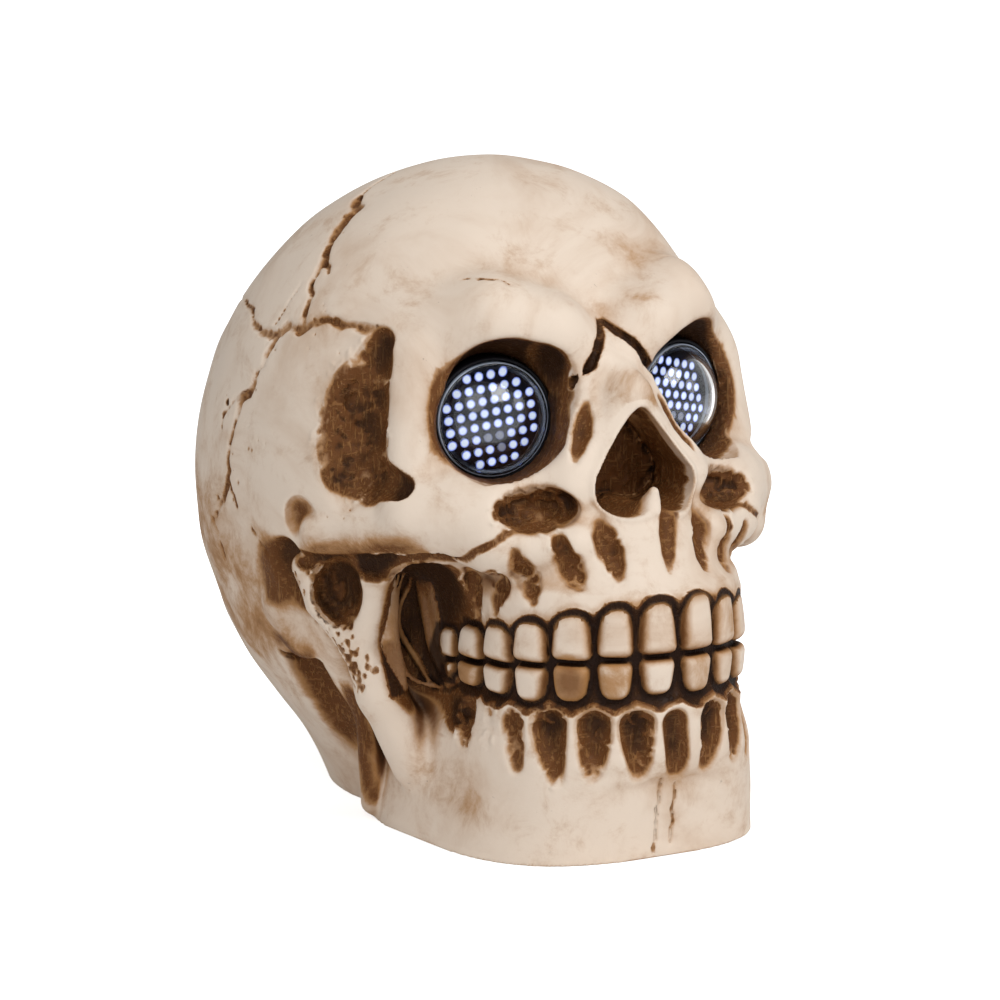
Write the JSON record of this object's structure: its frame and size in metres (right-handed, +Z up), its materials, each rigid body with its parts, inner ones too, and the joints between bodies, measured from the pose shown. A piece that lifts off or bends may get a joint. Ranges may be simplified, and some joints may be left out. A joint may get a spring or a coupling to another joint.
{
  "type": "light-up skull ornament",
  "caption": "Table-top cast-resin skull with toothy grin and lit dot-pattern lens eyes; a sliding battery door and an on-off slide switch sit in the flat base.",
  "frame": {"origin": "centre of the overall bounding box in plan, on the plane the ornament stands on", "axes": "+Z up; the face looks along -Y; +X is the skull's own left"},
  "size_m": [0.1198, 0.1458, 0.1444],
  "materials": {
    "bone_resin": "ivory paint over cast resin, brown antiquing wash in every recess, satin",
    "black_plastic": "moulded, fine grain",
    "clear_lens": "polished clear acrylic",
    "dot_plate_black": "satin black with punched holes",
    "lit_diffuser": "milky white, lit from behind",
    "circuit_board": "solder-masked laminate",
    "led_epoxy": "clear cast epoxy, lit",
    "lead_jacket": "soft vinyl jacket",
    "cell_steel": "plain nickel-plated steel can",
    "contact_metal": "plated spring strip",
    "switch_metal": "bright stamped shell"
  },
  "bodies": {
    "skull": {"skull_casting": "bone_resin", "eye_cup_right": "black_plastic", "eye_lens_right": "clear_lens", "dot_plate_right": "dot_plate_black", "eye_diffuser_right": "lit_diffuser", "eye_board_right": "circuit_board", "eye_led_right": "led_epoxy", "eye_lead_right": "lead_jacket", "eye_cup_left": "black_plastic", "eye_lens_left": "clear_lens", "dot_plate_left": "dot_plate_black", "eye_diffuser_left": "lit_diffuser", "eye_board_left": "circuit_board", "eye_led_left": "led_epoxy", "eye_lead_left": "lead_jacket", "battery_box": "black_plastic", "button_cell_1": "cell_steel", "button_cell_2": "cell_steel", "button_cell_3": "cell_steel", "cell_spring_contact": "contact_metal", "cell_end_contact": "contact_metal", "switch_body": "switch_metal"},
    "door": {"battery_door": "black_plastic"},
    "switch_knob": {"switch_slider": "black_plastic"}
  },
  "joints": [
    {"name": "battery_door_slide", "type": "slide", "parent": "skull", "child": "door", "axis": [0, -1, 0], "range_m": [0, 0.014]},
    {"name": "switch_slide", "type": "slide", "parent": "skull", "child": "switch_knob", "axis": [0, 1, 0], "range_m": [0, 0.0034]}
  ]
}
